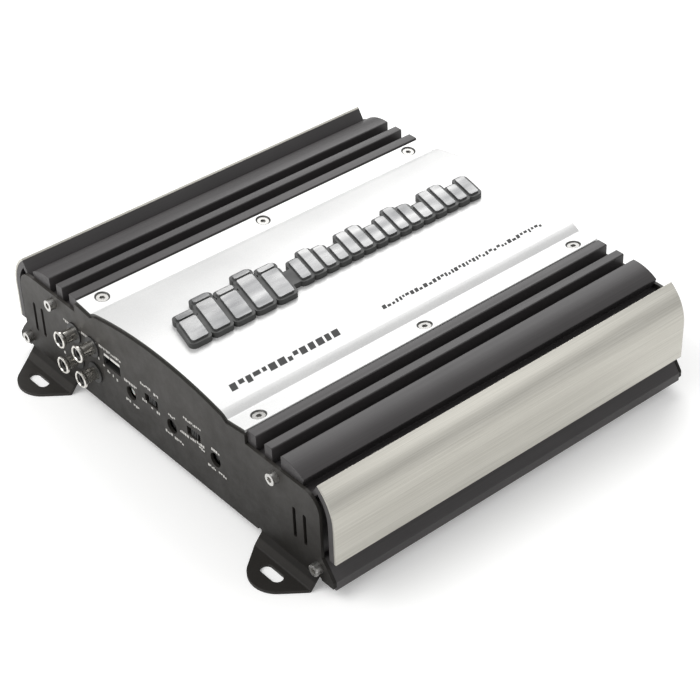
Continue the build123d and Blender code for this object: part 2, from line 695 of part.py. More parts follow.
# ---------------------------------------------------------------- bottom plate
def bottom_plate():
    """Flush steel sheet with two rows of vents."""
    reach_x = BOTTOM_PLATE_HALF - 0.1
    reach_y = HALF_LENGTH - 0.2
    plate = box(around(0, reach_x), around(0, reach_y), (0, BOTTOM_PLATE_THICK))
    for row in (-0.5, 0.5):
        for column in range(BOTTOM_VENT_COLUMNS):
            x = (column - (BOTTOM_VENT_COLUMNS - 1) / 2) * BOTTOM_VENT_PITCH[0]
            plate -= upward(upright_slot(x, row * BOTTOM_VENT_PITCH[1], *BOTTOM_VENT), -PAST, 2 * PAST)
    corners = [(x, y) for x in (-BOTTOM_SCREW_X, BOTTOM_SCREW_X) for y in BOTTOM_SCREW_Y]
    for x, y in corners + STANDOFFS:
        plate -= rod((x, y, -PAST), (0, 0, 1), M3 + PASS_GAP, 4)
    return plate


def bottom_screws():
    screws = []
    for x in (-BOTTOM_SCREW_X, BOTTOM_SCREW_X):
        for y in BOTTOM_SCREW_Y:
            screws.append(socket_screw((x, y, 0), (0, 0, 1), 2.7, 1.6, 5.5, 1.2))
    return group(screws)


# ---------------------------------------------------------------- phono jacks
def jack_positions():
    return [(x, z) for x in JACK_X for z in JACK_Z]


def jack_housing():
    """Black moulding behind the plate, with a collar through each hole."""
    body = box(JACK_HOUSING_X, (-HALF_LENGTH + 0.05, JACK_BACK), (BOARD_TOP, JACK_HOUSING_TOP))
    for x, z in jack_positions():
        body += rod((x, -PLATE_FACE - 0.6, z), (0, 1, 0), JACK_HOLE - 0.1, 4)
    for x, z in jack_positions():
        body -= rod((x, -PLATE_FACE - PAST, z), (0, 1, 0), JACK_BARREL + 0.05, 10)
    x, z = JACK_SCREW
    return body - rod((x, -PLATE_FACE - PAST, z), (0, 1, 0), JACK_SCREW_RADIUS + FIT_GAP, 9)


def jack_shell(x, z):
    """Nickel barrel with a rolled lip at its mouth."""
    lip = -PLATE_FACE - JACK_REACH
    rear = lip + 9.5
    profile = polygon(
        (JACK_BORE, rear), (JACK_BARREL, rear), (JACK_BARREL, lip + 2.5), (JACK_FLARE, lip + 1.2),
        (JACK_FLARE, lip + 0.35), (JACK_FLARE - 0.35, lip), (JACK_FLARE - 0.8, lip),
        (JACK_FLARE - 1.1, lip + 0.4), (JACK_BORE, lip + JACK_MOUTH),
    )
    placed = Plane(origin=(x, 0, z), x_dir=(1, 0, 0), z_dir=(0, 0, 1)) * profile
    return revolve(placed, Axis((x, 0, z), (0, 1, 0)))


def jack_insulator(x, z):
    """Plastic core of a jack, with the hole for the plug's pin."""
    lip = -PLATE_FACE - JACK_REACH
    core = rod((x, lip + JACK_MOUTH, z), (0, 1, 0), JACK_BORE - 0.03, 8.6)
    return core - rod((x, lip, z), (0, 1, 0), 1.65, 8.0)


def jack_contact(x, z):
    """Plated sleeve that grips the plug's pin."""
    lip = -PLATE_FACE - JACK_REACH
    sleeve = rod((x, lip + 3.0, z), (0, 1, 0), 1.62, 5.0)
    return sleeve - rod((x, lip + 2, z), (0, 1, 0), 1.4, 5.5)


def jack_screw():
    """Self-tapping screw between the four jacks."""
    x, z = JACK_SCREW
    head = rod((x, -PLATE_FACE - 0.7, z), (0, 1, 0), 1.9, 0.7)
    shank = rod((x, -PLATE_FACE, z), (0, 1, 0), JACK_SCREW_RADIUS, 7)
    slot = box(around(x, 1.2), (-PLATE_FACE - PAST, -PLATE_FACE - 0.35), around(z, 0.2))
    return head + shank - slot


# ---------------------------------------------------------------- high-level input socket
def socket_housing():
    """Four-way header whose nose fills the hole in the plate, with a keyway in its upper wall."""
    x, z = SOCKET_CENTRE
    width, depth, height = SOCKET_SIZE
    front = -HALF_LENGTH + 0.1
    nose = -PLATE_FACE + SOCKET_NOSE_INSET
    nose_size = [side - 2 * SOCKET_NOSE_GAP for side in SOCKET_HOLE]
    floor, roof = z + SOCKET_MOUTH[0], z + SOCKET_MOUTH[1]
    body = box(around(x, width / 2), (front, front + depth), around(z, height / 2))
    body += box(around(x, width / 2), (front + 5, front + depth), (BOARD_TOP, z))
    body += along_y(Pos(x, z) * RectangleRounded(*nose_size, 0.6), nose, front + PAST)
    mouth = (nose - PAST, front + SOCKET_CAVITY[1])
    body -= box(around(x, SOCKET_CAVITY[0] / 2), mouth, (floor, roof))
    key = (x + SOCKET_KEY[0], x + SOCKET_KEY[1])
    return body - box(key, mouth, (roof - 0.5, z + nose_size[1] / 2 + 0.2))


def socket_pins():
    """Square pins that stand in the middle of the socket's mouth."""
    x, z = SOCKET_CENTRE
    front = -HALF_LENGTH + 0.1
    middle_height = z + sum(SOCKET_MOUTH) / 2
    pins = []
    for index in range(SOCKET_PINS):
        middle = x + (index - (SOCKET_PINS - 1) / 2) * SOCKET_PIN_PITCH
        depth = (front + 4.8, front + SOCKET_CAVITY[1])
        pins.append(box(around(middle, 0.4), depth, around(middle_height, 0.4)))
    return group(pins)


# ---------------------------------------------------------------- potentiometers and slide switches
def pot_body(x, z):
    """Square potentiometer body between the plate and the control board."""
    case = box(around(x, POT_HALF[0]), (-HALF_LENGTH + 1.6, CONTROL_BOARD_FACE), around(z, POT_HALF[1]))
    return case - rod((x, -HALF_LENGTH, z), (0, 1, 0), SPINDLE_RADIUS + SPINDLE_GAP, 6)


def pot_spindle(x, z):
    """Short adjuster with a screwdriver slot, turning in its body just behind the plate's face."""
    front = -PLATE_FACE + SPINDLE_INSET
    spindle = rod((x, front, z), (0, 1, 0), SPINDLE_RADIUS, SPINDLE_LENGTH)
    return spindle - box(around(x, 0.5), (front - PAST, front + 1.4), around(z, SPINDLE_RADIUS + PAST))


def switch_body(x, z):
    """Slide switch: a shallow case behind the plate, open in front of its slider."""
    case = box(around(x, SWITCH_HALF[0]), (-HALF_LENGTH + 0.4, CONTROL_BOARD_FACE), around(z, SWITCH_HALF[1]))
    return case - box(around(x, 4.6), (-HALF_LENGTH - PAST, -HALF_LENGTH + 4.4), around(z, 2.2))


def switch_slider(x, z):
    """Slider with a ridged thumb face."""
    front = -PLATE_FACE + SLIDER_INSET
    slider = box(around(x, SLIDER_HALF[0]), (front, -HALF_LENGTH + 4.3), around(z, SLIDER_HALF[1]))
    for index in range(-1, 2):
        groove = around(x + SLIDER_RIB_PITCH * index, 0.3)
        slider -= box(groove, (front - PAST, front + 0.6), around(z, SLIDER_HALF[1] + PAST))
    return slider


def control_board():
    """Upright board that carries the potentiometers and switches, standing on the main board."""
    depth = (CONTROL_BOARD_FACE, CONTROL_BOARD_FACE + BOARD_THICK)
    return box(CONTROL_BOARD_X, depth, (BOARD_TOP, CONTROL_BOARD_TOP))


# ---------------------------------------------------------------- terminals
def block_width(terminals):
    return terminals["ways"] * terminals["pitch"] + 2 * BLOCK_WALL


def way_positions(terminals):
    """X of each wire entry."""
    middle = (terminals["ways"] - 1) / 2
    return [terminals["x"] + (index - middle) * terminals["pitch"] for index in range(terminals["ways"])]


def entry_height(terminals):
    return BOARD_TOP + terminals["height"] * ENTRY_SHARE


def terminal_block(terminals):
    """Moulded block: one wire entry and one screw well for each way, with ribs between the ways."""
    half = terminals["entry"] / 2
    middle = entry_height(terminals)
    height = (BOARD_TOP, BOARD_TOP + terminals["height"])
    block = box(around(terminals["x"], block_width(terminals) / 2), (BLOCK_BACK, BLOCK_MOUTH), height)
    pocket = half + CAGE_WALL + CAGE_SLACK
    pocket_depth = (BLOCK_BACK + BLOCK_WALL - CAGE_SLACK, BLOCK_MOUTH - BLOCK_LIP + CAGE_SLACK)
    pocket_height = (middle - pocket, middle + half + CAGE_THREAD + CAGE_SLACK)
    for x in way_positions(terminals):
        block -= box(around(x, half), (BLOCK_BACK + BLOCK_WALL, BLOCK_MOUTH + PAST), around(middle, half))
        block -= box(around(x, pocket), pocket_depth, pocket_height)
        block -= rod((x, TERMINAL_SCREW_Y, middle), (0, 0, 1), terminals["screw"] + 0.5, terminals["height"])
    return block


def terminal_clamps(terminals):
    """Plated brass cages, open towards the wire, each with a thick threaded top."""
    half = terminals["entry"] / 2
    middle = entry_height(terminals)
    depth = (BLOCK_BACK + BLOCK_WALL, BLOCK_MOUTH - BLOCK_LIP)
    height = (middle - half - CAGE_WALL, middle + half + CAGE_THREAD)
    thread = terminals["screw"] + FIT_GAP
    cages = []
    for x in way_positions(terminals):
        cage = box(around(x, half + CAGE_WALL), depth, height)
        cage -= box(around(x, half), (BLOCK_BACK, BLOCK_MOUTH), around(middle, half))
        cage -= rod((x, TERMINAL_SCREW_Y, middle), (0, 0, 1), thread, terminals["height"])
        cages.append(cage)
    return group(cages)


def terminal_screws(terminals):
    """Grub screws with a hexagon socket, backed off clear of the wire entry."""
    radius = terminals["screw"]
    bottom = entry_height(terminals) + terminals["entry"] / 2 + 0.2
    top = BOARD_TOP + terminals["height"] - 0.6
    screws = []
    for x in way_positions(terminals):
        screw = rod((x, TERMINAL_SCREW_Y, bottom), (0, 0, 1), radius, top - bottom)
        socket = Pos(x, TERMINAL_SCREW_Y, top - 1.8) * extrude(RegularPolygon(radius * 0.6, 6), 2.5)
        screws.append(screw - socket)
    return group(screws)


# ---------------------------------------------------------------- fuses
def blade_heights():
    return around(FUSE_Z, BLADE_SPREAD)


def fuse_holder():
    """Twin holder with a pocket for each fuse and a slot for each blade."""
    width, height = FUSE_HOLDER
    holder = box(around(0, width / 2), (FUSE_HOLDER_BACK, FUSE_HOLDER_FRONT), around(FUSE_Z, height / 2))
    pocket_depth = (FUSE_SEAT, FUSE_HOLDER_FRONT + PAST)
    pocket_height = around(FUSE_Z, FUSE_BODY[1] / 2 + 0.2)
    slot_depth = (FUSE_HOLDER_BACK + 0.5, FUSE_SEAT + PAST)
    for x in FUSE_X:
        holder -= box(around(x, FUSE_BODY[0] / 2 + 0.15), pocket_depth, pocket_height)
        for z in blade_heights():
            holder -= box(around(x, CLIP_REACH + 0.05), slot_depth, around(z, BLADE[1] / 2 + 0.25))
    return holder


def fuse_clips():
    """Two flat spring leaves for each blade."""
    clips = []
    for x in FUSE_X:
        for z in blade_heights():
            for face in (-1, 1):
                sides = sorted((x + face * (BLADE[0] / 2 + 0.1), x + face * CLIP_REACH))
                clips.append(box(sides, (FUSE_HOLDER_BACK + 0.5, FUSE_SEAT - 1), around(z, 2.4)))
    return group(clips)


def fuse_body(x):
    """Plastic body of a blade fuse, with a waist for the fingers and a recess in each face."""
    low, high = around(FUSE_Z, FUSE_BODY[1] / 2)
    start = FUSE_SEAT + 0.1
    end = start + FUSE_OUT
    section = polygon(
        (low + FUSE_WAIST, start), (high - FUSE_WAIST, start), (high - FUSE_WAIST, end - 5.4),
        (high, end - 4.6), (high, end), (low, end), (low, end - 4.6), (low + FUSE_WAIST, end - 5.4),
    )
    placed = Plane(origin=(x - FUSE_BODY[0] / 2, 0, 0), x_dir=(0, 0, 1), z_dir=(-1, 0, 0)) * section
    body = extrude(placed, amount=FUSE_BODY[0], dir=(1, 0, 0))
    for face in (-1, 1):
        sides = sorted((x + face * 2.1, x + face * 3.0))
        body -= box(sides, (end - 3.6, end - 1.4), around(FUSE_Z, 5.0))
    return body


def fuse_blades(x):
    seat = FUSE_SEAT + 0.1
    return group([box(around(x, BLADE[0] / 2), (seat - BLADE_LENGTH, seat), around(z, BLADE[1] / 2))
                  for z in blade_heights()])


# ---------------------------------------------------------------- lamps
def lamp(x):
    """Three-millimetre lamp with a domed nose, a collar behind the plate and two leads to the board."""
    body = rod((x, LAMP_BACK, LAMP_Z), (0, 1, 0), LAMP_RADIUS, 5.6)
    body += Pos(x, LAMP_BACK + 5.6, LAMP_Z) * Sphere(LAMP_RADIUS)
    body += rod((x, LAMP_BACK, LAMP_Z), (0, 1, 0), LAMP_COLLAR, 1.0)
    for lead in around(x, 1.05):
        body += box(around(lead, 0.25), (LAMP_BACK - 0.5, LAMP_BACK), (BOARD_TOP, LAMP_Z))
    return body


# ---------------------------------------------------------------- circuit board and its parts
def main_board():
    board = box(around(0, BOARD_HALF[0]), around(0, BOARD_HALF[1]), (BOARD_BOTTOM, BOARD_TOP))
    for x, y in STANDOFFS:
        board -= rod((x, y, BOARD_BOTTOM - PAST), (0, 0, 1), M3 + PASS_GAP, 4)
    return board


def standoffs():
    posts = []
    height = BOARD_BOTTOM - BOTTOM_PLATE_THICK
    for x, y in STANDOFFS:
        post = Pos(x, y, BOTTOM_PLATE_THICK) * extrude(RegularPolygon(STANDOFF_RADIUS, 6), height)
        posts.append(post - rod((x, y, 0), (0, 0, 1), STANDOFF_BORE, 12))
    return group(posts)


def board_screws():
    screws = []
    for x, y in STANDOFFS:
        head = rod((x, y, BOARD_TOP), (0, 0, 1), 2.7, 1.8)
        shank = rod((x, y, BOARD_BOTTOM - 2.5), (0, 0, 1), STANDOFF_BORE - FIT_GAP, BOARD_THICK + 2.5)
        slot = box(around(x, 2), around(y, 0.35), (BOARD_TOP + 1.0, BOARD_TOP + 3))
        screws.append(head + shank - slot)
    return group(screws)


def ring_core(coil):
    return ring(coil["centre"], coil["inner"], coil["outer"], coil["low"], coil["high"])


def winding(coil, wall, turns, wire):
    """Turns of wire about a ring core: rectangular loops set round the ring."""
    def frame(margin, half_width):
        across = (coil["inner"] - margin, coil["outer"] + margin)
        return box(across, around(0, half_width), (coil["low"] - margin, coil["high"] + margin))

    loop = frame(wall, wire / 2) - frame(0.1, wire)
    placed = [Rot(0, 0, 360 * index / turns) * loop for index in range(turns)]
    return group([Pos(*coil["centre"], 0) * turn for turn in placed])


def capacitor(x, y, height):
    """Electrolytic can with a crimped neck."""
    can = rod((x, y, BOARD_TOP), (0, 0, 1), CAPACITOR_RADIUS, height)
    return can - ring((x, y), CAPACITOR_RADIUS - 0.5, CAPACITOR_RADIUS + 1, BOARD_TOP + 2.4, BOARD_TOP + 3.6)


def input_capacitors():
    return group([capacitor(x, INPUT_CAPACITOR_Y, 24.0) for x in INPUT_CAPACITOR_X])


def output_capacitors():
    start_x, start_y = OUTPUT_CAPACITOR_START
    pitch = OUTPUT_CAPACITOR_PITCH
    return group([capacitor(start_x + pitch * column, start_y + pitch * row, 25.0)
                  for row in range(2) for column in range(2)])


def transistors():
    """Power transistors standing against both side walls, leads down to the board."""
    pieces = []
    for side in (-1, 1):
        for y in TRANSISTOR_Y:
            faces = sorted(side * x for x in TRANSISTOR_X)
            body = box(faces, around(y, TRANSISTOR_HALF), (BOARD_TOP + 3.4, BOARD_TOP + 19.0))
            for lead in (-LEAD_PITCH, 0.0, LEAD_PITCH):
                body += box(around(side * 100.3, 0.3), around(y + lead, 0.4), (BOARD_TOP, BOARD_TOP + 3.6))
            pieces.append(body)
    return group(pieces)


def clamped_strip(faces, height):
    """Strip along the transistors of both walls, with a hole for each clamp screw."""
    strips = []
    for side in (-1, 1):
        low, high = sorted(side * x for x in faces)
        reach = (TRANSISTOR_Y[0] - CLAMP_MARGIN, TRANSISTOR_Y[-1] + CLAMP_MARGIN)
        strip = box((low, high), reach, height)
        for y in CLAMP_SCREW_Y:
            strip -= rod((low - PAST, y, CLAMP_SCREW_Z), (1, 0, 0), M3 + 0.25, high - low + 2 * PAST)
        strips.append(strip)
    return group(strips)


def clamp_screws():
    screws = []
    for side in (-1, 1):
        for y in CLAMP_SCREW_Y:
            seat = (side * CLAMP_BACK, y, CLAMP_SCREW_Z)
            screws.append(socket_screw(seat, (side, 0, 0), 2.75, 2.4, 10.8, 1.3))
    return group(screws)


def signal_chips():
    """Small dual-in-line packages behind the control board."""
    return group([box(around(CHIP_START + CHIP_PITCH * index, 4.8), CHIP_Y, (BOARD_TOP, BOARD_TOP + 3.4))
                  for index in range(CHIPS)])


# ---------------------------------------------------------------- write every piece
def write_casing():
    save("heatsink_extrusion", heatsink())
    save("right_wing_trim", wing_trim())
    save("left_wing_trim", mirror(wing_trim(), about=Plane.YZ))
    save("top_cover", top_cover())
    save("top_cover_screws", cover_screws())
    save("badge_base", badge_base())
    save("badge_bars", badge_bars())
    save("front_end_plate", front_end_plate())
    save("rear_end_plate", rear_end_plate())
    save("front_plate_screws", plate_screws(-1))
    save("rear_plate_screws", plate_screws(1))
    save("bottom_plate", bottom_plate())
    save("bottom_plate_screws", bottom_screws())


def write_controls():
    save("jack_housing", jack_housing())
    save("jack_shells", group([jack_shell(x, z) for x, z in jack_positions()]))
    save("jack_insulators", group([jack_insulator(x, z) for x, z in jack_positions()]))
    save("jack_contacts", group([jack_contact(x, z) for x, z in jack_positions()]))
    save("jack_screw", jack_screw())
    save("high_level_socket", socket_housing())
    save("high_level_pins", socket_pins())
    for name, place in (("level", LEVEL_POT), ("low_pass", LOW_PASS_POT), ("high_pass", HIGH_PASS_POT)):
        save(f"{name}_pot_body", pot_body(*place))
        save(f"{name}_pot_spindle", pot_spindle(*place))
    for name, place in (("bass", BASS_SWITCH), ("crossover", CROSSOVER_SWITCH)):
        save(f"{name}_switch_body", switch_body(*place))
        save(f"{name}_switch_slider", switch_slider(*place))
    save("control_board", control_board())


def write_terminals():
    for name, terminals in (("power", POWER_TERMINALS), ("speaker", SPEAKER_TERMINALS)):
        save(f"{name}_terminal_block", terminal_block(terminals))
        save(f"{name}_terminal_clamps", terminal_clamps(terminals))
        save(f"{name}_terminal_screws", terminal_screws(terminals))
    save("fuse_holder", fuse_holder())
    save("fuse_clips", fuse_clips())
    for name, x in (("left", FUSE_X[0]), ("right", FUSE_X[1])):
        save(f"{name}_fuse_body", fuse_body(x))
        save(f"{name}_fuse_blades", fuse_blades(x))
    for name, x in (("power", LAMP_X[0]), ("protection", LAMP_X[1])):
        save(f"{name}_lamp", lamp(x))


def write_electronics():
    save("main_board", main_board())
    save("board_standoffs", standoffs())
    save("board_screws", board_screws())
    save("transformer_core", ring_core(TRANSFORMER))
    save("transformer_winding", winding(TRANSFORMER, 2.0, 24, 2.2))
    save("choke_core", ring_core(CHOKE))
    save("choke_winding", winding(CHOKE, 1.6, 14, 1.8))
    save("input_capacitors", input_capacitors())
    save("output_capacitors", output_capacitors())
    save("power_transistors", transistors())
    save("insulator_pads", clamped_strip((TRANSISTOR_X[1], WALL_INNER), (BOARD_TOP + 2.5, BOARD_TOP + 21.0)))
    save("clamp_bars", clamped_strip((CLAMP_BACK, TRANSISTOR_X[0]), around(CLAMP_SCREW_Z, 3.5)))
    save("clamp_screws", clamp_screws())
    save("signal_chips", signal_chips())


write_casing()
write_controls()
write_terminals()
write_electronics()
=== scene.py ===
import json
import math
import random

import bmesh
import bpy
from mathutils import Matrix, Vector


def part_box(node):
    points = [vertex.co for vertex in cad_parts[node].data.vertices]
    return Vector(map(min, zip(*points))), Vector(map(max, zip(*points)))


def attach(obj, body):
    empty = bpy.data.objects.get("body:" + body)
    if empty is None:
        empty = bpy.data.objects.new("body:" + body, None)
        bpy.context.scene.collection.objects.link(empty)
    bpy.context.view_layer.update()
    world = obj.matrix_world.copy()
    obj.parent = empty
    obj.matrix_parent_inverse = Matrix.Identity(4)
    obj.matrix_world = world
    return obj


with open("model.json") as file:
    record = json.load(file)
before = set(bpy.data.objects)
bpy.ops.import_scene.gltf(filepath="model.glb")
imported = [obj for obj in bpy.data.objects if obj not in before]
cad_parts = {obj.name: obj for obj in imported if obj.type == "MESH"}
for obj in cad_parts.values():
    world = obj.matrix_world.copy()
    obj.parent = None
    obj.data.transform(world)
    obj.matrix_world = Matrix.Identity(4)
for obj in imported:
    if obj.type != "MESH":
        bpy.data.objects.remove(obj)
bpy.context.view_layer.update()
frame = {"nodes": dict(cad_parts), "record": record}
NODES = frame["nodes"]
SLOT_OF = {s["node"]: s["material_slot"] for s in frame["record"]["subparts"]}
RANDOM = random.Random(11)
MM = 0.001

# ---------------------------------------------------------------- places taken from the CAD model
COVER_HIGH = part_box("top_cover")[1]
COVER_END = COVER_HIGH.y
CROWN = COVER_HIGH.z
ARCH_RADIUS = 216.8 * MM
SCREW_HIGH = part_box("top_cover_screws")[1]
SCREW_X = SCREW_HIGH.x - 2.9 * MM
SCREW_Y = SCREW_HIGH.y - 2.85 * MM
# Radius of the painted shade ring round each cover screw.
SEAT_RADIUS = 3.7 * MM
JACKS_LOW, JACKS_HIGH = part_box("jack_shells")
JACKS_MIDDLE = (JACKS_LOW + JACKS_HIGH) / 2
JACK_LIP = 4.2 * MM
# Radius of the painted shade in each jack's mouth.
JACK_MOUTH = 3.05 * MM
# Bounds of the painted light and shade on the end plates.
PANEL_LOW, PANEL_HIGH, PANEL_HALF = 4 * MM, 46 * MM, 110 * MM
PANEL_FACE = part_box("jack_housing")[0].y + 0.6 * MM
BODY_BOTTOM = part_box("bottom_plate")[0].z
NOSE_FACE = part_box("high_level_socket")[0].y
STRIP_LOW = BODY_BOTTOM + 31.5 * MM


# ---------------------------------------------------------------- material helpers
class Graph:
    """A small helper around one material's nodes. Coordinates are the object's own, in metres."""

    def __init__(self, name):
        self.material = bpy.data.materials.new(name)
        self.material.use_nodes = True
        self.tree = self.material.node_tree
        self.tree.nodes.clear()
        self.out = self.node("ShaderNodeOutputMaterial")
        self.shader = self.node("ShaderNodeBsdfPrincipled")
        self.link(self.shader.outputs["BSDF"], self.out.inputs["Surface"])
        self.coords = self.node("ShaderNodeTexCoord").outputs["Object"]

    def node(self, kind, **settings):
        made = self.tree.nodes.new(kind)
        for key, value in settings.items():
            setattr(made, key, value)
        return made

    def link(self, source, target):
        self.tree.links.new(source, target)

    def set(self, **values):
        for key, value in values.items():
            self.shader.inputs[key.replace("_", " ")].default_value = value

    def stretched(self, scale, turn=(0, 0, 0)):
        """Object coordinates multiplied by scale on each axis."""
        mapping = self.node("ShaderNodeMapping")
        mapping.inputs["Scale"].default_value = scale
        mapping.inputs["Rotation"].default_value = turn
        self.link(self.coords, mapping.inputs["Vector"])
        return mapping.outputs["Vector"]

    def noise(self, scale, detail=3.0, rough=0.5, vector=None, warp=0.0):
        made = self.node("ShaderNodeTexNoise")
        made.inputs["Scale"].default_value = scale
        made.inputs["Detail"].default_value = detail
        made.inputs["Roughness"].default_value = rough
        made.inputs["Distortion"].default_value = warp
        self.link(vector or self.coords, made.inputs["Vector"])
        return made.outputs["Fac"]

    def cells(self, scale, vector=None, output="Distance", feature="F1"):
        made = self.node("ShaderNodeTexVoronoi", feature=feature)
        made.inputs["Scale"].default_value = scale
        self.link(vector or self.coords, made.inputs["Vector"])
        return made.outputs[output]

    def ramp(self, source, *stops):
        """Maps a value through (position, colour or grey) stops."""
        made = self.node("ShaderNodeValToRGB")
        band = made.color_ramp
        while len(band.elements) < len(stops):
            band.elements.new(0.5)
        for element, (place, tone) in zip(band.elements, stops):
            element.position = place
            element.color = (*tone, 1) if isinstance(tone, tuple) else (tone, tone, tone, 1)
        self.link(source, made.inputs["Fac"])
        return made.outputs["Color"]

    def span(self, source, low, high, from_low=0.0, from_high=1.0):
        made = self.node("ShaderNodeMapRange")
        ends = {"From Min": from_low, "From Max": from_high, "To Min": low, "To Max": high}
        for key, value in ends.items():
            made.inputs[key].default_value = value
        self.link(source, made.inputs["Value"])
        return made.outputs["Result"]

    def join(self, kind, first, second):
        made = self.node("ShaderNodeMath", operation=kind)
        for slot, value in zip(made.inputs, (first, second)):
            if isinstance(value, (int, float)):
                slot.default_value = value
            else:
                self.link(value, slot)
        return made.outputs["Value"]

    def mix(self, factor, first, second, kind="MIX"):
        made = self.node("ShaderNodeMix", data_type="RGBA", blend_type=kind)
        if isinstance(factor, (int, float)):
            made.inputs["Factor"].default_value = factor
        else:
            self.link(factor, made.inputs["Factor"])
        for index, value in ((6, first), (7, second)):
            if isinstance(value, tuple):
                made.inputs[index].default_value = (*value, 1)
            else:
                self.link(value, made.inputs[index])
        return made.outputs[2]

    def axis(self, name):
        made = self.node("ShaderNodeSeparateXYZ")
        self.link(self.coords, made.inputs["Vector"])
        return made.outputs[name]

    def colour(self, source):
        self.link(source, self.shader.inputs["Base Color"])

    def rough(self, source, low, high, from_low=0.3, from_high=0.7):
        self.link(self.span(source, low, high, from_low, from_high), self.shader.inputs["Roughness"])

    def soft_edge(self, radius):
        """Shading normal that rounds every edge by the radius, in metres."""
        made = self.node("ShaderNodeBevel", samples=4)
        made.inputs["Radius"].default_value = radius
        return made.outputs["Normal"]

    def scaled(self, source, factor):
        """A colour multiplied by a grey factor."""
        grey = self.node("ShaderNodeCombineColor")
        for channel in ("Red", "Green", "Blue"):
            self.link(factor, grey.inputs[channel])
        return self.mix(1.0, source, grey.outputs["Color"], "MULTIPLY")

    def bump(self, source, height, strength=1.0, under=None):
        """Adds relief of about the stated height, in metres."""
        made = self.node("ShaderNodeBump")
        made.inputs["Strength"].default_value = strength
        made.inputs["Distance"].default_value = height
        self.link(source, made.inputs["Height"])
        if under is not None:
            self.link(under, made.inputs["Normal"])
        self.link(made.outputs["Normal"], self.shader.inputs["Normal"])
        return made.outputs["Normal"]


def anodised():
    """Black anodised extrusion: satin, with fine die lines along its length."""
    g = Graph("black_anodised")
    lines = g.noise(1.0, 4, 0.65, g.stretched((2600, 9, 2600)))
    broad = g.noise(1.0, 2, 0.5, g.stretched((420, 5, 420)))
    cloud = g.noise(34, 3)
    pores = g.noise(5200, 2)
    tone = g.join("ADD", g.join("MULTIPLY", lines, 0.55), g.join("MULTIPLY", cloud, 0.45))
    g.colour(g.ramp(tone, (0.30, (0.038, 0.0353, 0.0359)), (0.52, (0.047, 0.0438, 0.0444)),
                    (0.75, (0.058, 0.0541, 0.0546))))
    g.rough(g.join("ADD", g.join("MULTIPLY", broad, 0.6), g.join("MULTIPLY", lines, 0.4)), 0.34, 0.48)
    first = g.bump(lines, 6e-6, 0.5, g.soft_edge(0.35 * MM))
    g.bump(pores, 4e-6, 0.35, first)
    g.set(Specular_IOR_Level=0.32)
    return g.material


def brushed():
    """Aluminium side trim, brushed along its length."""
    g = Graph("brushed_aluminium")
    fine = g.noise(1.0, 5, 0.7, g.stretched((5200, 26, 5200)))
    medium = g.noise(1.0, 3, 0.6, g.stretched((1300, 7, 1300)))
    broad = g.noise(1.0, 2, 0.5, g.stretched((170, 2.5, 170)))
    grain = g.join("ADD", g.join("MULTIPLY", fine, 0.5),
                   g.join("ADD", g.join("MULTIPLY", medium, 0.3), g.join("MULTIPLY", broad, 0.2)))
    g.colour(g.ramp(grain, (0.30, (0.38, 0.366, 0.328)), (0.50, (0.52, 0.506, 0.459)),
                    (0.70, (0.66, 0.646, 0.593))))
    g.rough(grain, 0.30, 0.46)
    g.bump(grain, 9e-6, 0.55, g.soft_edge(0.3 * MM))
    g.set(Metallic=1.0, Anisotropic=0.55)
    tangent = g.node("ShaderNodeTangent", direction_type="RADIAL", axis="Y")
    g.link(tangent.outputs["Tangent"], g.shader.inputs["Tangent"])
    return g.material


def silver_paint():
    """Fine silver paint: tiny flakes, faint orange peel, with painted shade on the cut ends of the sheet and
    in a ring round each screw.
    """
    g = Graph("silver_cover")
    flakes = g.cells(4200, output="Color")
    flake = g.node("ShaderNodeSeparateColor")
    g.link(flakes, flake.inputs["Color"])
    cloud = g.noise(22, 4, 0.55)
    peel = g.noise(620, 2, 0.4)
    tone = g.join("ADD", g.join("MULTIPLY", flake.outputs["Red"], 0.35), g.join("MULTIPLY", cloud, 0.65))
    paint = g.ramp(tone, (0.2, (0.62, 0.622, 0.62)), (0.5, (0.68, 0.68, 0.675)), (0.8, (0.74, 0.74, 0.735)))
    # Painted shade along the cover's cut ends, where they meet the end plates in shadow.
    length = g.join("ABSOLUTE", g.axis("Y"), 0)
    end_shade = g.span(length, 0.0, 1.0, COVER_END - 0.06 * MM, COVER_END - 0.02 * MM)
    # Painted shade in a ring round each cover screw, where the hollow is in shadow.
    across = g.join("SUBTRACT", g.join("ABSOLUTE", g.axis("X"), 0), SCREW_X)
    along = g.join("PINGPONG", g.axis("Y"), SCREW_Y)
    to_screw = g.join("MINIMUM", along, g.join("SUBTRACT", SCREW_Y, along))
    from_axis = g.join("SQRT", g.join("ADD", g.join("POWER", across, 2.0), g.join("POWER", to_screw, 2.0)), 0)
    seat_shade = g.span(from_axis, 1.0, 0.0, SEAT_RADIUS - 0.25 * MM, SEAT_RADIUS)
    painted_shade = g.join("MAXIMUM", end_shade, seat_shade)
    # The near-black colour is the painted shade; it is also made less metallic.
    g.colour(g.mix(painted_shade, paint, (0.055, 0.054, 0.050)))
    g.rough(tone, 0.34, 0.46, 0.25, 0.75)
    first = g.bump(peel, 5e-6, 0.5, g.soft_edge(0.3 * MM))
    g.bump(flake.outputs["Green"], 2.5e-6, 0.3, first)
    g.link(g.span(painted_shade, 0.30, 0.0), g.shader.inputs["Metallic"])
    g.set(Specular_IOR_Level=0.4, Coat_Weight=0.1, Coat_Roughness=0.25)
    return g.material


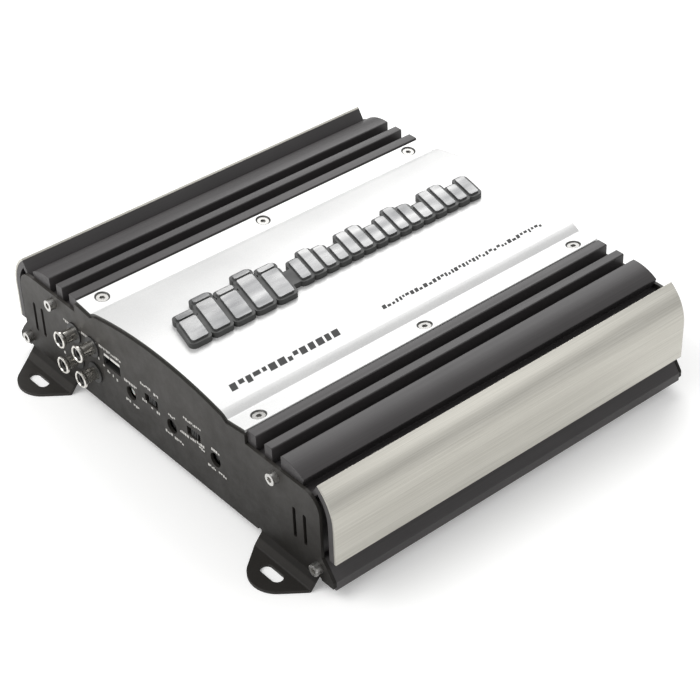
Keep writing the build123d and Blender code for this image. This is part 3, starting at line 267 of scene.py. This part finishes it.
def powder_coat(name, dark, mid, light, grain=1500, painted_light=None, edge=0.3, level=0.34):
    """Satin black powder coat with its fine pebbled skin; a painted light and shade factor, when given,
    scales its colour and specular level.
    """
    g = Graph(name)
    pebbles = g.cells(grain)
    skin = g.noise(grain * 0.7, 4, 0.6)
    cloud = g.noise(26, 3)
    rub = g.noise(140, 5, 0.7)
    tone = g.join("ADD", g.join("MULTIPLY", skin, 0.35), g.join("MULTIPLY", cloud, 0.65))
    coat = g.ramp(tone, (0.3, dark), (0.52, mid), (0.74, light))
    if painted_light:
        # Painted light and shade: the factor scales the coat's colour and its specular level.
        light_and_shade = painted_light(g)
        coat = g.scaled(coat, light_and_shade)
        g.link(g.join("MULTIPLY", light_and_shade, level), g.shader.inputs["Specular IOR Level"])
    else:
        g.set(Specular_IOR_Level=level)
    g.colour(coat)
    g.rough(rub, 0.44, 0.60)
    first = g.bump(pebbles, 14e-6, 0.45, g.soft_edge(edge * MM))
    g.bump(skin, 10e-6, 0.4, first)
    return g.material


def panel_painted_light(g):
    """Painted light and shade on the end plates: darker towards the bottom, lighter again on the feet, and
    lighter towards the upper left.
    """
    # Painted shade towards the bottom, painted light on the feet.
    height = g.span(g.axis("Z"), 0.44, 0.94, PANEL_LOW, PANEL_HIGH)
    height = g.join("MAXIMUM", height, g.span(g.axis("Z"), 0.72, 0.0, PANEL_LOW, PANEL_LOW + 1.5 * MM))
    # Painted light towards the left.
    side_light = g.span(g.axis("X"), 1.2, 0.86, -PANEL_HALF, PANEL_HALF)
    return g.join("MULTIPLY", height, side_light)


def moulded(name, dark, light, low=0.38, high=0.55, spark=2600, **extra):
    """Moulded plastic with a fine spark-eroded texture."""
    g = Graph(name)
    texture = g.noise(spark, 3, 0.6)
    flow = g.noise(60, 4, 0.5, warp=1.2)
    g.colour(g.ramp(g.join("ADD", g.join("MULTIPLY", texture, 0.3), g.join("MULTIPLY", flow, 0.7)),
                    (0.32, dark), (0.70, light)))
    g.rough(flow, low, high)
    g.bump(texture, 8e-6, 0.5, g.soft_edge(0.3 * MM))
    g.set(**extra)
    return g.material


def plated(name, dark, light, low, high, line=(900, 900, 900)):
    """Plated metal with faint handling marks and tone changes."""
    g = Graph(name)
    marks = g.noise(1.0, 5, 0.7, g.stretched(line))
    stain = g.noise(180, 3, 0.5, warp=0.6)
    tone = g.join("ADD", g.join("MULTIPLY", marks, 0.4), g.join("MULTIPLY", stain, 0.6))
    g.colour(g.ramp(tone, (0.32, dark), (0.68, light)))
    g.rough(marks, low, high)
    g.bump(marks, 3e-6, 0.5, g.soft_edge(0.12 * MM))
    g.set(Metallic=1.0)
    return g.material


def jack_nickel():
    """Turned nickel shells: bright on the barrel and the lip, with painted shade in the mouth."""
    g = Graph("jack_nickel")
    turning = g.noise(1.0, 5, 0.7, g.stretched((700, 2600, 700)))
    bright = g.ramp(turning, (0.32, (0.62, 0.60, 0.55)), (0.68, (0.84, 0.82, 0.78)))
    offsets = []
    for name, middle, reach in (("X", JACKS_MIDDLE.x, JACKS_HIGH.x), ("Z", JACKS_MIDDLE.z, JACKS_HIGH.z)):
        away = g.join("ABSOLUTE", g.join("SUBTRACT", g.axis(name), middle), 0)
        offsets.append(g.join("POWER", g.join("SUBTRACT", away, reach - middle - JACK_LIP), 2.0))
    from_axis = g.join("SQRT", g.join("ADD", *offsets), 0)
    # Painted shade in the mouth of each jack, near its lip.
    mouth_shade = g.span(from_axis, 1.0, 0.0, JACK_MOUTH, JACK_MOUTH + 0.2 * MM)
    near_lip = g.span(g.axis("Y"), 1.0, 0.0, JACKS_LOW.y + 1.0 * MM, JACKS_LOW.y + 1.4 * MM)
    g.colour(g.mix(g.join("MULTIPLY", mouth_shade, near_lip), bright, (0.030, 0.029, 0.027)))
    g.rough(turning, 0.12, 0.26)
    g.bump(turning, 3e-6, 0.5, g.soft_edge(0.12 * MM))
    g.set(Metallic=1.0)
    return g.material


def screw_head_zinc():
    """Grey zinc of the cover's screws, duller than that of the other screws."""
    g = Graph("cover_screw_zinc")
    marks = g.noise(900, 5, 0.7)
    g.colour(g.ramp(marks, (0.32, (0.26, 0.255, 0.245)), (0.68, (0.42, 0.415, 0.40))))
    g.rough(marks, 0.30, 0.46)
    g.bump(marks, 3e-6, 0.5, g.soft_edge(0.12 * MM))
    g.set(Metallic=1.0)
    return g.material


def badge_metal():
    """Satin plating of the raised bars: half metallic, with soft bands of painted reflection in its colour
    and a fine polish.
    """
    g = Graph("badge_chrome")
    # Painted reflection: soft light and dark bands in the base colour.
    reflection_bands = g.noise(1.0, 2, 0.4, g.stretched((150, 34, 60), (0, 0, 0.5)))
    polish = g.noise(1.0, 4, 0.65, g.stretched((3800, 300, 600)))
    g.colour(g.ramp(reflection_bands, (0.30, (0.13, 0.132, 0.134)), (0.48, (0.21, 0.211, 0.212)),
                    (0.66, (0.33, 0.33, 0.328))))
    g.rough(polish, 0.16, 0.30)
    g.bump(polish, 3e-6, 0.4, g.soft_edge(0.25 * MM))
    g.set(Metallic=0.5, Specular_IOR_Level=0.3)
    return g.material


def header_painted_shade():
    """White nylon header, coloured near-black as painted shade except for a strip along the top of its nose.
    """
    g = Graph("white_nylon_header_painted_shade")
    texture = g.noise(1800, 3, 0.6)
    flow = g.noise(60, 4, 0.5, warp=1.2)
    white = g.ramp(flow, (0.3, (0.56, 0.55, 0.52)), (0.7, (0.70, 0.69, 0.66)))
    # Near-black painted shade, for the shadowed hollow of the socket.
    black = g.ramp(texture, (0.3, (0.010, 0.010, 0.010)), (0.7, (0.020, 0.020, 0.019)))
    above = g.span(g.axis("Z"), 0.0, 1.0, STRIP_LOW - 0.05 * MM, STRIP_LOW)
    in_front = g.span(g.axis("Y"), 1.0, 0.0, NOSE_FACE + 0.25 * MM, NOSE_FACE + 0.3 * MM)
    # White only on the strip above STRIP_LOW at the front of the nose; painted shade elsewhere.
    g.colour(g.mix(g.join("MULTIPLY", above, in_front), black, white))
    g.rough(flow, 0.34, 0.48)
    g.bump(texture, 8e-6, 0.5, g.soft_edge(0.15 * MM))
    return g.material


def board():
    """Green solder mask with the copper tracks showing through."""
    g = Graph("circuit_board")
    tracks = g.cells(420, g.stretched((1, 1, 1), (0, 0, 0.785)), "Distance", "DISTANCE_TO_EDGE")
    weave = g.noise(1.0, 2, 0.4, g.stretched((2400, 1200, 1200)))
    blotch = g.noise(45, 3)
    line = g.span(tracks, 0.0, 1.0, 0.10, 0.16)
    base = g.ramp(blotch, (0.3, (0.010, 0.060, 0.024)), (0.7, (0.018, 0.105, 0.042)))
    g.colour(g.mix(line, base, (0.004, 0.036, 0.016)))
    g.rough(blotch, 0.22, 0.38)
    first = g.bump(line, 2e-5, 0.5)
    g.bump(weave, 5e-6, 0.4, first)
    g.set(Coat_Weight=0.5, Coat_Roughness=0.12)
    return g.material


def lens(name, deep, pale):
    """Tinted moulded lamp lens."""
    g = Graph(name)
    cloud = g.noise(700, 3)
    g.colour(g.ramp(cloud, (0.3, deep), (0.7, pale)))
    g.rough(cloud, 0.08, 0.2)
    g.bump(cloud, 4e-6, 0.3)
    g.set(Transmission_Weight=0.45, IOR=1.49, Coat_Weight=0.6, Coat_Roughness=0.05)
    return g.material


def winding():
    """Enamelled copper wire."""
    g = Graph("copper_wire")
    wire = g.noise(1.0, 3, 0.5, g.stretched((900, 900, 900)))
    g.colour(g.ramp(wire, (0.3, (0.36, 0.11, 0.03)), (0.7, (0.62, 0.24, 0.08))))
    g.rough(wire, 0.22, 0.38)
    g.bump(wire, 3e-5, 0.6)
    g.set(Metallic=0.85, Coat_Weight=0.7, Coat_Roughness=0.12)
    return g.material


def sleeve():
    """Shrink sleeve of the capacitors: dark blue with a paler polarity stripe."""
    g = Graph("capacitor_sleeve")
    wrinkle = g.noise(1.0, 3, 0.5, g.stretched((300, 300, 1100)))
    stripe = g.noise(1.0, 1, 0.0, g.stretched((260, 260, 1)))
    base = g.ramp(wrinkle, (0.3, (0.006, 0.012, 0.045)), (0.7, (0.012, 0.026, 0.085)))
    g.colour(g.mix(g.span(stripe, 0.0, 1.0, 0.66, 0.68), base, (0.45, 0.50, 0.58)))
    g.rough(wrinkle, 0.2, 0.34)
    g.bump(wrinkle, 1.5e-5, 0.5)
    return g.material


FINISH = {
    "black_anodised": anodised(),
    "brushed_aluminium": brushed(),
    "silver_cover": silver_paint(),
    "black_satin_steel": powder_coat("black_satin_steel", (0.029, 0.0265, 0.0235), (0.0355, 0.0326, 0.0291),
                                     (0.044, 0.0406, 0.0364), painted_light=panel_painted_light),
    "badge_carrier": powder_coat("badge_carrier", (0.030, 0.031, 0.030), (0.040, 0.041, 0.040),
                                 (0.052, 0.053, 0.051), 2400, level=0.5),
    "badge_chrome": badge_metal(),
    "zinc_screws": plated("zinc_screws", (0.46, 0.45, 0.43), (0.74, 0.73, 0.71), 0.22, 0.40),
    "nickel": plated("nickel", (0.62, 0.60, 0.55), (0.84, 0.82, 0.78), 0.12, 0.26, (700, 2600, 700)),
    "gold_brass": plated("gold_brass", (0.56, 0.38, 0.13), (0.82, 0.62, 0.30), 0.18, 0.34),
    "black_plastic": moulded("black_plastic", (0.014, 0.014, 0.014), (0.026, 0.026, 0.025)),
    "white_nylon": moulded("white_nylon", (0.62, 0.61, 0.575), (0.76, 0.75, 0.715), 0.34, 0.48, 1800,
                           Subsurface_Weight=0.12, Subsurface_Scale=0.002),
    "circuit_board": board(),
    "clear_fuse_plastic": moulded("clear_fuse_plastic", (0.62, 0.42, 0.03), (0.80, 0.58, 0.06),
                                  0.10, 0.20, 900, Transmission_Weight=0.55, IOR=1.5,
                                  Coat_Weight=0.4, Coat_Roughness=0.08),
    "green_lens": lens("green_lens", (0.02, 0.30, 0.06), (0.06, 0.52, 0.14)),
    "red_lens": lens("red_lens", (0.42, 0.02, 0.015), (0.70, 0.05, 0.035)),
    "ferrite": moulded("ferrite", (0.020, 0.022, 0.020), (0.045, 0.048, 0.044), 0.55, 0.75, 3200),
    "copper_wire": winding(),
    "capacitor_sleeve": sleeve(),
    "insulator_sheet": moulded("insulator_sheet", (0.44, 0.45, 0.47), (0.58, 0.59, 0.61), 0.4, 0.6, 1500),
}

OWN_FINISH = {
    "high_level_socket": header_painted_shade(),
    "jack_shells": jack_nickel(),
    "top_cover_screws": screw_head_zinc(),
}
for name, node in NODES.items():
    finish = OWN_FINISH.get(name) or FINISH[SLOT_OF[name]]
    if not node.material_slots:
        node.data.materials.append(finish)
    for slot in node.material_slots:
        slot.material = finish


# ---------------------------------------------------------------- printed marks
def ink(name, dark, light):
    """Screen-printed ink: slightly uneven, with tiny pinholes."""
    g = Graph(name)
    spread = g.noise(2600, 4, 0.6)
    holes = g.cells(5200)
    g.colour(g.ramp(g.join("ADD", g.join("MULTIPLY", spread, 0.7), g.join("MULTIPLY", holes, 0.3)),
                    (0.28, dark), (0.62, light)))
    g.rough(spread, 0.5, 0.7)
    g.bump(spread, 4e-6, 0.4)
    return g.material


def printed(name, outlines, lift, material):
    """One piece of many flat marks: each outline is a ring of (point, outward direction) pairs."""
    mesh = bpy.data.meshes.new(name)
    bm = bmesh.new()
    for outline in outlines:
        under = [bm.verts.new(point) for point, out in outline]
        over = [bm.verts.new(point + out * lift) for point, out in outline]
        bm.faces.new(over)
        bm.faces.new(list(reversed(under)))
        for index in range(len(outline)):
            after = (index + 1) % len(outline)
            bm.faces.new((under[index], under[after], over[after], over[index]))
    bmesh.ops.recalc_face_normals(bm, faces=bm.faces)
    bm.to_mesh(mesh)
    bm.free()
    made = bpy.data.objects.new(name, mesh)
    bpy.context.scene.collection.objects.link(made)
    mesh.materials.append(material)
    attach(made, "casing")


def dash_row(start, end, height, stroke, gap):
    """Dashes between two places along a row: (along, width, low, high), the sizes varying like print."""
    along = start
    dashes = []
    while along + stroke * 0.7 < end:
        width = min(stroke * RANDOM.uniform(0.7, 1.5), end - along)
        low, high = RANDOM.choice(((0.0, 1.0), (0.0, 1.0), (0.0, 0.62), (0.38, 1.0)))
        dashes.append((along, width, low * height, high * height))
        along += width + gap * RANDOM.uniform(0.8, 1.3)
    return dashes


INK_THICKNESS = 0.03 * MM

# Rows on the control panel: x from and to, and height above the underside of the body
PANEL_ROWS = (
    (-73.1, -60.2, 34.0), (-58.6, -46.4, 34.5), (-44.6, -26.9, 35.2),
    (-26.4, -16.8, 26.6), (-13.4, -5.2, 32.2), (-3.6, 0.6, 31.4),
    (-26.7, -22.6, 15.8), (-21.0, -16.4, 15.4), (-13.1, -9.9, 23.4), (-6.6, -4.9, 22.6), (-2.6, -0.3, 22.2),
    (6.5, 11.9, 26.4), (17.9, 30.3, 31.5), (3.1, 8.2, 15.8), (9.7, 16.2, 15.4),
    (14.5, 20.9, 22.4), (21.9, 26.1, 22.8), (26.6, 32.1, 23.4), (28.0, 32.4, 21.4),
    (37.1, 42.7, 26.3), (33.6, 40.0, 15.6), (41.1, 46.6, 15.6),
    (-46.6, -45.2, 27.0), (-43.0, -41.2, 25.4), (-39.8, -37.4, 23.6), (-35.8, -34.2, 23.2),
    (-33.0, -31.2, 22.4),
    (-47.3, -45.8, 13.2), (-76.8, -75.6, 13.6),
)
PANEL_MARK = {"height": 1.35 * MM, "stroke": 0.85 * MM, "gap": 0.38 * MM}


def panel_marks():
    outlines = []
    out = Vector((0, -1, 0))
    for start, end, height in PANEL_ROWS:
        base = BODY_BOTTOM + height * MM
        for x, width, low, high in dash_row(start * MM, end * MM, **PANEL_MARK):
            corners = ((x, low), (x + width, low), (x + width, high), (x, high))
            outlines.append([(Vector((cx, PANEL_FACE, base + cz)), out) for cx, cz in corners])
    printed("panel_marks", outlines, INK_THICKNESS,
            ink("panel_ink", (0.42, 0.41, 0.39), (0.62, 0.61, 0.58)))


# Rows on the cover: y from and to, x of their feet, height of the marks, stroke and gap
COVER_ROWS = (
    (-91.6, -30.4, 39.9, 3.9, 2.6, 1.1),
    (-8.0, 89.0, 38.8, 2.3, 1.5, 0.7),
)
COVER_SLANT = 0.25


def on_arch(x, y):
    """A point of the cover's upper face, with its outward direction."""
    centre = CROWN - ARCH_RADIUS
    out = Vector((x, 0, math.sqrt(ARCH_RADIUS**2 - x**2))) / ARCH_RADIUS
    return Vector((0, y, centre)) + out * ARCH_RADIUS, out


def cover_marks():
    outlines = []
    for start, end, foot, height, stroke, gap in COVER_ROWS:
        for y, width, low, high in dash_row(start * MM, end * MM, height * MM, stroke * MM, gap * MM):
            outlines.append([on_arch(foot * MM - rise, along + rise * COVER_SLANT)
                             for along, rise in ((y, low), (y + width, low), (y + width, high), (y, high))])
    printed("cover_marks", outlines, INK_THICKNESS,
            ink("cover_ink", (0.012, 0.012, 0.012), (0.03, 0.03, 0.03)))


panel_marks()
cover_marks()


# ---------------------------------------------------------------- stage, light, camera
def floor():
    mesh = bpy.data.meshes.new("floor")
    bm = bmesh.new()
    bmesh.ops.create_grid(bm, x_segments=24, y_segments=24, size=6.0)
    bm.to_mesh(mesh)
    bm.free()
    made = bpy.data.objects.new("floor", mesh)
    bpy.context.scene.collection.objects.link(made)
    g = Graph("pale_floor")
    g.colour(g.ramp(g.noise(1.2, 3), (0.3, (0.90, 0.90, 0.895)), (0.7, (0.92, 0.92, 0.915))))
    g.set(Roughness=0.9, Specular_IOR_Level=0.1, Emission_Strength=0.22)
    g.shader.inputs["Emission Color"].default_value = (1.0, 1.0, 0.995, 1)
    mesh.materials.append(g.material)


def area_light(name, place, target, size, power):
    lamp = bpy.data.lights.new(name, "AREA")
    lamp.shape = "RECTANGLE"
    lamp.size, lamp.size_y = size
    lamp.energy = power
    made = bpy.data.objects.new(name, lamp)
    made.location = place
    made.rotation_euler = (Vector(target) - Vector(place)).to_track_quat("-Z", "Y").to_euler()
    bpy.context.scene.collection.objects.link(made)


floor()
area_light("key_behind_left", (-0.66, 0.80, 0.94), (0, 0, 0.05), (0.90, 0.90), 9.2)
area_light("fill_above_front", (-0.22, -0.62, 0.86), (0, 0, 0.03), (0.7, 0.6), 5.6)
area_light("trim_box", (0.95, 0.72, 0.90), (0.1, 0, 0.04), (0.5, 0.5), 1.6)

world = bpy.data.worlds.new("studio")
world.use_nodes = True
backdrop = world.node_tree.nodes["Background"]
backdrop.inputs["Color"].default_value = (1.0, 1.0, 1.0, 1)
backdrop.inputs["Strength"].default_value = 0.55
bpy.context.scene.world = world

SCENE = bpy.context.scene
SCENE.view_settings.view_transform = "Standard"
SCENE.view_settings.look = "None"
SCENE.view_settings.exposure = 0.0
SCENE.view_settings.gamma = 1.0

CAMERA_PLACE = Vector((0.549496, -0.439992, 0.539437))
CAMERA_AXES = (
    Vector((0.64608705, 0.76261708, -0.03141212)),
    Vector((-0.44281879, 0.40804014, 0.79838259)),
    Vector((0.6216776, -0.50191478, 0.60133062)),
)
camera_data = bpy.data.cameras.new("camera")
camera_data.sensor_width = 36.0
camera_data.lens = 97.65
camera_data.clip_start = 0.01
camera_data.clip_end = 30.0
camera = bpy.data.objects.new("camera", camera_data)
turn = Matrix((CAMERA_AXES[0], CAMERA_AXES[1], CAMERA_AXES[2])).transposed()
camera.matrix_world = Matrix.Translation(CAMERA_PLACE) @ turn.to_4x4()
SCENE.collection.objects.link(camera)
SCENE.camera = camera
